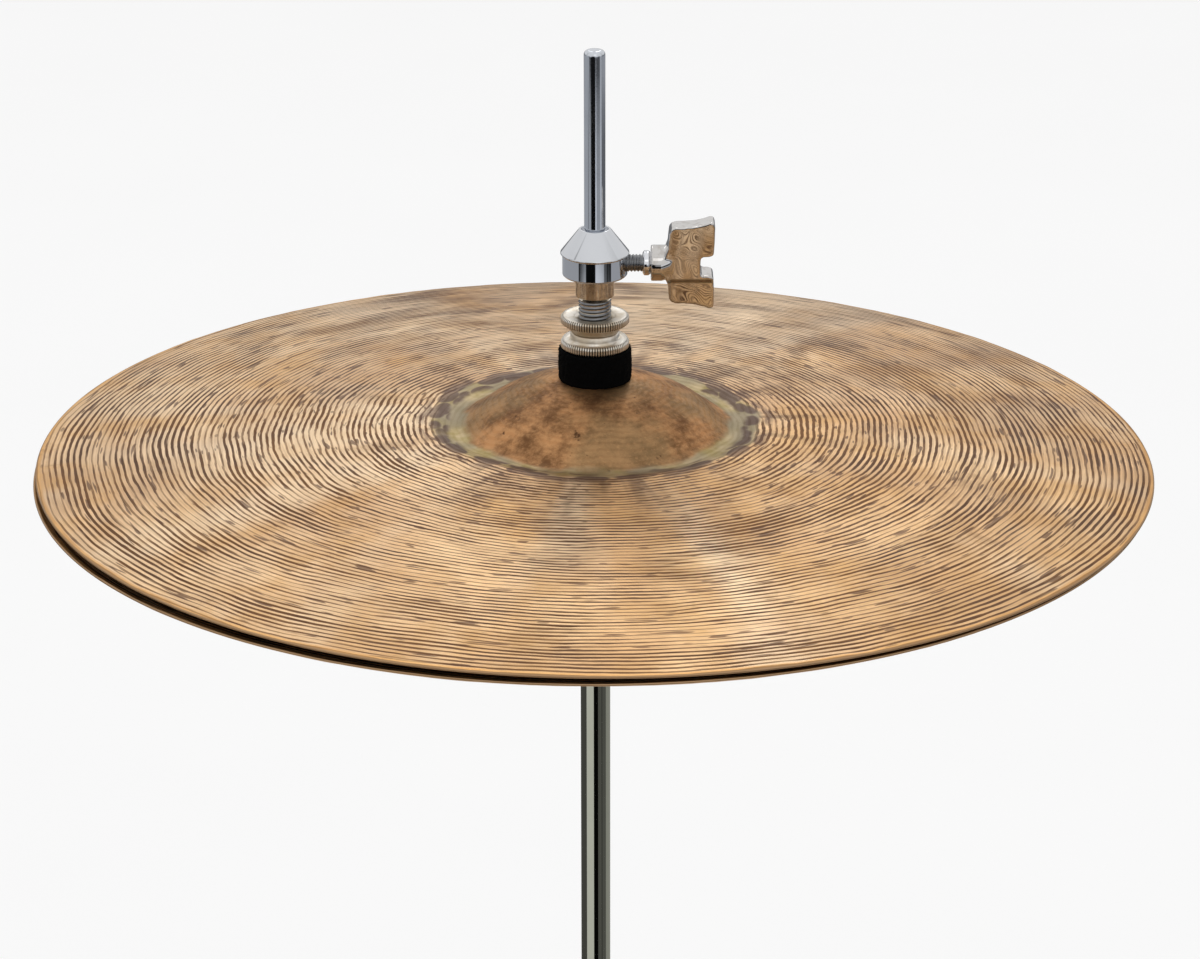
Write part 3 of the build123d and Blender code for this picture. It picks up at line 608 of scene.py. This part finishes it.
def screw_thread(name, r, depth, pitch, length, material, bore=0.0, columns=48, per_turn=8):
    """A threaded bar or sleeve along +Z from 0 to length, in millimetres. The thread fades at both ends."""
    rows = max(4, int(length / pitch * per_turn))
    heights = np.linspace(0, length, rows + 1)
    angle = np.linspace(0, 2 * math.pi, columns, endpoint=False)
    rings = []
    for z in heights:
        phase = (z / pitch - angle / (2 * math.pi)) % 1.0
        share = max(min(1.0, z / (pitch * 0.7), (length - z) / (pitch * 0.7)), 0.0)
        valley = np.abs(2 * phase - 1) ** 0.8
        radius = r - depth * valley * share - depth * 0.5 * (1 - share)
        rings.append(np.stack([radius * np.cos(angle), radius * np.sin(angle), np.full(columns, z)], -1))
    for z in (length, 0.0):
        inner = max(bore, 0.02)
        rings.append(np.stack([inner * np.cos(angle), inner * np.sin(angle), np.full(columns, z)], -1))
    return new_object(name, closed_grid(name, np.array(rings) * MM, columns, wrap_rings=True), material)


def upper_part_z(h):
    """Millimetres above the floor for a height above the top cymbal's rim plane."""
    return RIM_Z / MM + h


WING_BOLT_Z = upper_part_z(64) * MM


# ---------------------------------------------------------------- camera, floor and light
VIEW_DISTANCE = 1.25
VIEW_ELEVATION = 20.91      # degrees, as are the three small turns that follow
VIEW_PITCH = 0.39
VIEW_YAW = -0.076
VIEW_ROLL = -0.058
FLOOR_GLOW = 0.46           # light the floor gives off itself, so that it stays even and nearly white
TENT_R = 1.6                # metres
WORLD_LEVEL = 0.88


def camera():
    """The main view: it looks down at the middle of the top cymbal's rim from the front."""
    distance, elevation = VIEW_DISTANCE, math.radians(VIEW_ELEVATION)
    data = bpy.data.cameras.new("camera")
    data.sensor_width = 36.0
    data.lens = 117.0
    data.clip_end = 100.0
    eye = bpy.data.objects.new("camera", data)
    eye.location = RIM_CENTRE + Vector((0, -distance * math.cos(elevation), distance * math.sin(elevation)))
    slope = math.radians(90) - elevation - math.radians(VIEW_PITCH)
    tilt = Euler((slope, 0, math.radians(VIEW_YAW))).to_matrix()
    eye.rotation_mode = "QUATERNION"
    eye.rotation_quaternion = (tilt @ Matrix.Rotation(math.radians(VIEW_ROLL), 3, "Z")).to_quaternion()
    bpy.context.scene.collection.objects.link(eye)
    bpy.context.scene.camera = eye


def floor():
    s = Shader("pale_floor")
    dust = s.noise(s.place(), scale=3.0, detail=3.0)
    s.set("Base Color", s.mix(dust, linear(188, 188, 188), linear(191, 191, 191)))
    s.set("Roughness", 0.95)
    s.set("Specular IOR Level", 0.1)
    s.set("Emission Color", (1.0, 1.0, 1.0, 1.0))
    s.set("Emission Strength", FLOOR_GLOW)
    mesh = bpy.data.meshes.new("floor")
    half = 40.0
    corners = [(-half, -half, 0), (half, -half, 0), (half, half, 0), (-half, half, 0)]
    mesh.from_pydata(corners, [], [(0, 1, 2, 3)])
    made = new_object("floor", mesh, s.material)


def area_light(name, place, width, height, watts):
    """A soft box that points at the middle of the cymbals."""
    data = bpy.data.lights.new(name, "AREA")
    data.shape = "RECTANGLE"
    data.size, data.size_y = width, height
    data.energy = watts
    lamp = bpy.data.objects.new(name, data)
    lamp.location = place
    lamp.rotation_euler = (RIM_CENTRE - Vector(place)).to_track_quat("-Z", "Y").to_euler()
    bpy.context.scene.collection.objects.link(lamp)


def azimuth_degrees(s, x, y):
    """Degrees to the right of the front, seen from the stand."""
    return s.math("MULTIPLY", s.math("ARCTAN2", x, s.math("MULTIPLY", y, -1.0)), 180 / math.pi)


def banded(s, azimuth, bands):
    """Grey level round the stand: bands are (from, to, level) in degrees, laid over one another."""
    level = bands[0][2]
    for start, stop, value in bands[1:]:
        after = s.fade(azimuth, start - 1.5, start + 1.5)
        inside = s.math("MULTIPLY", after, s.fade(azimuth, stop + 1.5, stop - 1.5))
        outside = s.math("SUBTRACT", 1.0, inside)
        level = s.math("ADD", s.math("MULTIPLY", level, outside), s.math("MULTIPLY", inside, value))
    return level


def light_tent():
    """A ring of pale cards and dark gaps that only polished metal sees."""
    s = Shader("tent_cards")
    x, y, z = s.split(s.place())
    azimuth = azimuth_degrees(s, x, y)
    # each zone from its lowest height: for the tube, for the rod, a dark horizon, and for the clutch's collar
    zones = [
        (None, [(-180, 180, 0.37), (-180, -74, 0.085), (-74, -14, 0.72), (-14, 21, 0.003), (21, 89, 0.12),
                (49, 54, 0.03)]),
        (0.26, [(-180, 180, 0.15), (-170, -22, 0.47), (-76, -66, 0.24), (-40, 7, 0.004),
                (7, 20, 0.86), (20, 60, 0.42), (60, 80, 0.66)]),
        (0.52, [(-180, 180, 0.45), (-58, 58, 0.01), (150, 180, 0.20), (-180, -150, 0.20)]),
        (0.72, [(-180, 180, 0.20), (-104, -62, 0.56), (-62, -54, 0.05), (-54, -31, 0.74), (-31, 2, 0.003),
                (2, 32, 0.95), (32, 57, 0.30), (42, 46, 0.06), (57, 80, 0.62)]),
    ]
    level = None
    for start, bands in zones:
        grey = banded(s, azimuth, bands)
        grey = s.combine(grey, grey, grey)
        level = grey if level is None else s.mix(s.fade(z, start - 0.03, start + 0.03), level, grey)
    glow = s.node("ShaderNodeEmission")
    s.put(glow.inputs["Color"], s.mix(s.fade(z, 0.22, 0.30), linear(240, 240, 228), linear(246, 249, 255)))
    s.put(glow.inputs["Strength"], level)
    clear = s.node("ShaderNodeBsdfTransparent")
    blend = s.node("ShaderNodeMixShader")
    s.put(blend.inputs[0], s.fade(z, 0.94, 1.06))
    s.tree.links.new(glow.outputs[0], blend.inputs[1])
    s.tree.links.new(clear.outputs[0], blend.inputs[2])
    s.tree.links.new(blend.outputs[0], s.output.inputs[0])
    columns = 96
    angle = np.linspace(0, 2 * math.pi, columns, endpoint=False)
    wall = [(1.0, 0.004), (1.3, 0.11), (TENT_R, 0.24), (TENT_R, 0.70), (TENT_R, 1.12)]
    rings = [np.stack([r * np.cos(angle), r * np.sin(angle), np.full(columns, z)], -1) for r, z in wall]
    cards = closed_grid("light_tent", np.array(rings), columns, wrap_rings=False)
    tent = new_object("light_tent", cards, s.material)
    tent.visible_camera = False
    tent.visible_diffuse = False
    tent.visible_shadow = False
    tent.visible_transmission = False


def world():
    """A soft bright dome: a thin dark gap at the left, a greyer band at the right and a dimmer horizon."""
    made = bpy.data.worlds.new("studio")
    bpy.context.scene.world = made
    made.use_nodes = True
    s = Nodes(made.node_tree)
    x, y, z = s.split(s.node("ShaderNodeTexCoord").outputs["Generated"])
    azimuth = azimuth_degrees(s, x, y)
    level = banded(s, azimuth, [(-180, 180, WORLD_LEVEL), (-95, -90, 0.14), (78, 102, 0.72)])
    low_sky = s.math("MULTIPLY", level, s.fade(z, 0.95, 0.55))
    level = s.math("ADD", low_sky, s.math("MULTIPLY", s.fade(z, 0.55, 0.95), 0.95))
    level = s.math("MULTIPLY", level, s.fade(z, 0.0, 0.35, 0.92, 1.0))
    background = s.node("ShaderNodeBackground")
    background.inputs["Color"].default_value = (1.0, 1.0, 1.0, 1.0)
    s.put(background.inputs["Strength"], level)
    out = s.node("ShaderNodeOutputWorld")
    s.tree.links.new(background.outputs[0], out.inputs[0])


camera()
floor()
light_tent()
world()
area_light("key", (-0.36, 2.3, 2.9), 0.22, 1.6, 1.8)
area_light("fill", (0.30, 2.3, 2.9), 0.22, 1.6, 3.6)
area_light("front", (0.4, -2.6, 3.0), 1.6, 1.0, 3)
bpy.context.scene.view_settings.view_transform = "Standard"


# ---------------------------------------------------------------- the cymbals
def tilted(degrees):
    """The turn for a lean about X and Y."""
    about_x, about_y = (math.radians(d) for d in degrees)
    return Matrix.Rotation(about_x, 4, "X") @ Matrix.Rotation(about_y, 4, "Y")


def make_cymbals():
    top = new_object("top_cymbal_lathed", cymbal_mesh("top_cymbal_lathed", 560, 4, 3), MATERIALS["bronze"])
    top.matrix_world = Matrix.Translation(RIM_CENTRE) @ tilted(TOP_TILT)
    stand_for(top, "top_cymbal", "upper_cymbal")

    bottom = new_object("bottom_cymbal_lathed", cymbal_mesh("bottom_cymbal_lathed", 320, 3, 61), bronze(2))
    upside_down = Matrix.Rotation(math.pi, 4, "X")
    bottom.matrix_world = Matrix.Translation(BOTTOM_PLACE) @ tilted(BOTTOM_TILT) @ upside_down
    stand_for(bottom, "bottom_cymbal", "lower_cymbal")


make_cymbals()


# ---------------------------------------------------------------- the clutch
NICKEL = satin("knurled_nickel", linear(230, 224, 214), linear(204, 190, 168), KNURL_TEETH)
# the threads' dark tone is partly dark steel and partly painted shade
THREAD_STEEL = polished("thread_steel", linear(128, 129, 131), 0.20)
CHROME = MATERIALS["chrome"]
WING_CHROME = cast_chrome("wing_chrome", linear(206, 203, 200), linear(168, 160, 152))


def knurled_nut(name, node, body, flange_z, flange_t, hub_z, hub_t, flange_up):
    """A knurled flange with a turned hub. flange_up puts the flange above the hub."""
    z0, z1 = upper_part_z(flange_z), upper_part_z(flange_z + flange_t)
    bore, edge, outer = NUT_BORE, NUT_EDGE, NUT_R
    wall = [(outer, z0 + edge + (z1 - z0 - 2 * edge) * k / 6) for k in range(7)]
    lip = 0.35
    if flange_up:
        h0 = upper_part_z(hub_z)
        points = [(bore, h0), (7.55, h0), (7.8, h0 + 0.25), (7.8, h0 + 1.3), (8.4, z0 - 0.25), (9.6, z0),
                  (outer - edge, z0 + 0.05)] + wall + [(outer - edge, z1), (9.3, z1), (9.0, z1 - 0.12),
                  (6.9, z1 - 0.12), (6.5, z1 - 0.45), (6.4, z1 - 1.0), (bore, z1 - 1.0)]
    else:
        h1 = upper_part_z(hub_z + hub_t)
        points = [(bore, z0), (outer - edge, z0)] + wall + [(outer - edge, z1 + lip), (10.0, z1 + lip - 0.05),
                  (9.6, z1 - 0.25), (8.7, z1 - 0.2), (7.95, z1 + 0.5), (7.8, z1 + 1.1), (7.8, h1 - 0.3),
                  (7.5, h1), (bore, h1)]
    teeth = (KNURL_TEETH, KNURL_DEPTH, z0, z1 + lip, outer)
    nut = lathe(name, points, NICKEL, columns=KNURL_TEETH * 8, teeth=teeth)
    return stand_for(nut, node, body)


def clutch_collar():
    z = upper_part_z
    outline = [(3.42, z(8.0)), (4.9, z(8.0)), (4.9, z(52.0)), (5.6, z(52.9)), (6.1, z(53.5)), (6.1, z(59.3)),
               (6.35, z(60.1)), (9.75, z(60.1)), (10.25, z(60.6)), (10.25, z(66.9)), (10.5, z(67.1)),
               (10.85, z(67.25)), (10.85, z(67.7)), (5.05, z(75.2)), (4.75, z(75.4)), (4.35, z(75.4)),
               (4.3, z(74.1)), (3.42, z(74.1))]
    chrome = collar_chrome(linear(208, 210, 214), 0.03, 0.17, z(60.3) * MM)
    collar = lathe("clutch_collar", rounded(outline, 0.16, 3), chrome, columns=160)
    stand_for(collar, "clutch_body", "clutch")
    thread = screw_thread("clutch_thread", 5.25, 0.42, 1.25, 45.6, THREAD_STEEL, bore=4.7, columns=72)
    thread.location = (0, 0, z(7.6) * MM)
    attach(thread, "clutch")


def apply_modifiers(made):
    """Puts what the modifiers make in place of the mesh."""
    graph = bpy.context.evaluated_depsgraph_get()
    done = bpy.data.meshes.new_from_object(made.evaluated_get(graph))
    made.modifiers.clear()
    made.data = done


def melt(made, voxel, rounds, material):
    """Runs the edges and inner corners of a closed shape together, as poured and polished metal does."""
    remesh = made.modifiers.new("melt", "REMESH")
    remesh.mode = "VOXEL"
    remesh.voxel_size = voxel * MM
    soften = made.modifiers.new("soften", "SMOOTH")
    soften.iterations = rounds
    soften.factor = 0.6
    apply_modifiers(made)
    made.data.shade_smooth()
    made.data.materials.clear()
    made.data.materials.append(material)


def soft_casting(name, node, body, voxel, rounds, material):
    """A CAD casting shown with softer edges and inner corners."""
    made = new_object(name, frame["nodes"][node].data.copy(), material)
    melt(made, voxel, rounds, material)
    return stand_for(made, node, body)


WING_LEAN = 9.0             # degrees that the wing's upper lobe leans to the front
WING_HALF_T = 5.2           # half the wing's thickness at its hub, millimetres
WING_OUTLINE = [            # upper half, from the front: millimetres along the bolt and above it
    (21.6, 0.0), (21.9, 3.5), (22.9, 6.5), (23.3, 11.4), (24.0, 12.9), (25.6, 13.5), (28.4, 13.5),
    (31.4, 13.8), (34.2, 14.5), (36.2, 15.2), (37.3, 14.9), (37.6, 13.6), (37.5, 8.5), (37.3, 4.3),
    (36.8, 3.6), (35.6, 3.3), (33.8, 3.2), (33.2, 2.6), (33.1, 0.0),
]


def prism(points, faces, ring, low, high):
    """Adds a closed solid that joins two like rings of points."""
    base, count = len(points), len(ring)
    points += [low(p) for p in ring] + [high(p) for p in ring]
    faces.append(list(range(base, base + count)))
    faces.append(list(range(base + 2 * count - 1, base + count - 1, -1)))
    for i in range(count):
        j = (i + 1) % count
        faces.append([base + j, base + i, base + count + i, base + count + j])


def clutch_wing():
    """The wing as cast: two lobes that thin out from the hub, lean to the front and have soft edges."""
    lower = [(x, -z) for x, z in reversed(WING_OUTLINE)]
    hub = [(math.cos(a) * 5.7, math.sin(a) * 5.7) for a in np.linspace(0, 2 * math.pi, 64, endpoint=False)]
    points, faces = [], []
    lobes = WING_OUTLINE[:-1] + lower[:-1]
    prism(points, faces, lobes, lambda p: (p[0], -WING_HALF_T, p[1]), lambda p: (p[0], WING_HALF_T, p[1]))
    prism(points, faces, hub, lambda p: (17.6, p[0], p[1]), lambda p: (24.0, p[0], p[1]))
    mesh = bpy.data.meshes.new("clutch_wing_cast")
    mesh.from_pydata([tuple(c * MM for c in p) for p in points], [], faces)
    made = new_object("clutch_wing_cast", mesh, WING_CHROME)
    melt(made, 0.26, 14, WING_CHROME)
    count = len(made.data.vertices)
    places = np.empty(count * 3)
    made.data.vertices.foreach_get("co", places)
    places = places.reshape(-1, 3) / MM
    x, y, z = places[:, 0].copy(), places[:, 1].copy(), places[:, 2].copy()
    reach = np.clip((np.abs(z) - 3.0) / 11.0, 0, 1)
    lobe = np.clip((x - 21.0) / 3.0, 0, 1)
    sway = 0.03 * np.sin(x * 0.9 + 0.6 * np.sin(z * 0.5)) + 0.02 * np.sin(z * 0.6 + x * 0.3)
    thinned = np.where(y > 0, 0.50, 0.0) * lobe * reach
    step_back = 1.7 * np.clip((-4.4 - z) / 1.6, 0, 1) * lobe * (y < 0)
    places[:, 1] = y * (1 - thinned) + step_back + lobe * (sway + 0.8 - z * math.tan(math.radians(WING_LEAN)))
    made.data.vertices.foreach_set("co", (places * MM).ravel())
    made.data.update()
    made.location = (0, 0, WING_BOLT_Z)
    return stand_for(made, "clutch_wing", "clutch_wing_bolt")


def clutch_screw():
    """The wing bolt's threaded shank and its turned neck, along +X."""
    along_x = Matrix.Rotation(math.pi / 2, 4, "Y")
    thread = screw_thread("wing_bolt_thread", 2.85, 0.46, 1.05, 11.4, THREAD_STEEL, columns=40)
    thread.matrix_world = Matrix.Translation((3.7 * MM, 0, WING_BOLT_Z)) @ along_x
    stand_for(thread, "clutch_wing_screw", "clutch_wing_bolt")
    outline = [(0.05, 15.0), (3.2, 15.0), (3.95, 15.5), (3.95, 16.9), (3.3, 17.6), (4.3, 18.4), (0.05, 18.4)]
    neck = lathe("wing_bolt_neck", rounded(outline, 0.2, 3), CHROME, columns=64)
    neck.matrix_world = Matrix.Translation((0, 0, WING_BOLT_Z)) @ along_x
    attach(neck, "clutch_wing_bolt")


FELT_BORE = 5.6 * MM
FIBRE_R = 0.022 * MM


def wool_fibres(name, centre, outer, low_z, high_z, strands, seed, material):
    """Loose wool on a felt's wall, as closed three-sided fibres that end in a point."""
    rng = np.random.RandomState(seed)
    fibres = []
    faces = []
    for _ in range(strands):
        a = rng.uniform(0, 2 * math.pi)
        z = rng.uniform(low_z, high_z)
        out = Vector((math.cos(a), math.sin(a), 0))
        root = Vector((centre.x, centre.y, 0)) + out * outer + Vector((0, 0, z))
        along = Vector((-math.sin(a), math.cos(a), 0)) * rng.normal(0, 0.8)
        along = along + Vector((0, 0, rng.normal(0, 0.8))) + out * 0.7
        along.normalize()
        length = rng.uniform(0.3, 0.9) * MM
        across = along.cross(out).normalized() * FIBRE_R
        other = along.cross(across).normalized() * FIBRE_R
        bend = out * rng.uniform(-0.25, 0.1) * length
        spine = [root - out * 0.1 * MM, root + along * length * 0.5, root + along * length + bend]
        base = len(fibres)
        for i, p in enumerate(spine[:2]):
            for turn in (0, 2 * math.pi / 3, 4 * math.pi / 3):
                side = across * math.cos(turn) + other * math.sin(turn)
                fibres.append(tuple(p + side * (1.0 - 0.35 * i)))
        fibres.append(tuple(spine[2]))
        faces.append((base + 2, base + 1, base))
        for k, j in ((0, 1), (1, 2), (2, 0)):
            faces.append((base + k, base + j, base + 3 + j, base + 3 + k))
            faces.append((base + 3 + k, base + 3 + j, base + 6))
    mesh = bpy.data.meshes.new(name)
    mesh.from_pydata(fibres, [], faces)
    return new_object(name, mesh, material)


def felt_ring(name, node, body, material, strands, seed):
    """A felt washer: an uneven, slightly barrelled ring with loose wool fibres."""
    low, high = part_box(node)
    outer = (high.x - low.x) / 2
    bore = FELT_BORE
    centre = (low + high) / 2
    columns, wall = 150, 16
    section = [(bore, low.z)]
    section += [(bore + (outer - bore) * k / 6, low.z) for k in range(1, 7)]
    section += [(outer, low.z + (high.z - low.z) * k / wall) for k in range(1, wall)]
    section += [(bore + (outer - bore) * k / 6, high.z) for k in range(6, -1, -1)]
    section += [(bore, low.z + (high.z - low.z) * k / 4) for k in (3, 2, 1)]
    angle = np.linspace(0, 2 * math.pi, columns, endpoint=False)
    rings = []
    for r, z in section:
        t = (z - low.z) / (high.z - low.z)
        bulge = 0.25 * MM * math.sin(math.pi * t) if r > outer - 1e-6 else 0.0
        rough = (waves(angle * outer, np.full(columns, z), 2.2 * MM, seed) * 0.12
                 + waves(angle * outer, np.full(columns, z * 1.7), 0.9 * MM, seed + 5) * 0.07) * MM
        push = rough if r > outer - 1e-6 else rough * 0.3
        radius = r + bulge + push
        rings.append(np.stack([radius * np.cos(angle), radius * np.sin(angle), z + rough * 0.35], -1))
    points = np.array(rings)
    points[..., 0] += centre.x
    points[..., 1] += centre.y
    ring = new_object(name, closed_grid(name, points, columns, wrap_rings=True), material)
    fuzz = wool_fibres(name + "_fibres", centre, outer, low.z, high.z, strands, seed, material)
    stand_for(ring, node, body)
    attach(fuzz, body)


def make_clutch():
    clutch_collar()
    knurled_nut("felt_nut_knurled", "clutch_felt_nut", "felt_nut", 36.1, 2.6, 38.7, 2.8, False)
    knurled_nut("lock_nut_knurled", "clutch_lock_nut", "lock_nut", 44.2, 2.7, 41.7, 2.5, True)
    clutch_screw()
    clutch_wing()
    soft_casting("height_wing_cast", "height_clamp_wing", "height_wing", 0.32, 8, CHROME)
    felt_ring("upper_felt_wool", "upper_felt", "felts", MATERIALS["black_felt"], 2600, 5)
    felt_ring("lower_felt_wool", "lower_felt", "felts", MATERIALS["black_felt"], 900, 6)
    felt_ring("seat_felt_wool", "seat_felt", "seat", MATERIALS["grey_felt"], 1500, 7)


make_clutch()


# ---------------------------------------------------------------- every other CAD piece keeps its shape
CRISP = {
    "upper_tube": polished("polished_tube", linear(206, 208, 202), 0.02),
    "pull_rod": polished("polished_rod", linear(208, 212, 218), 0.05, scratches=0.05),
}


def dress_frame():
    shown = {piece.get("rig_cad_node") for piece in frame["nodes"].values()}
    for node in sorted(shown):
        made = frame["nodes"][node]
        made.data.materials.clear()
        made.data.materials.append(CRISP.get(node) or MATERIALS[SLOT_OF[node]])


dress_frame()
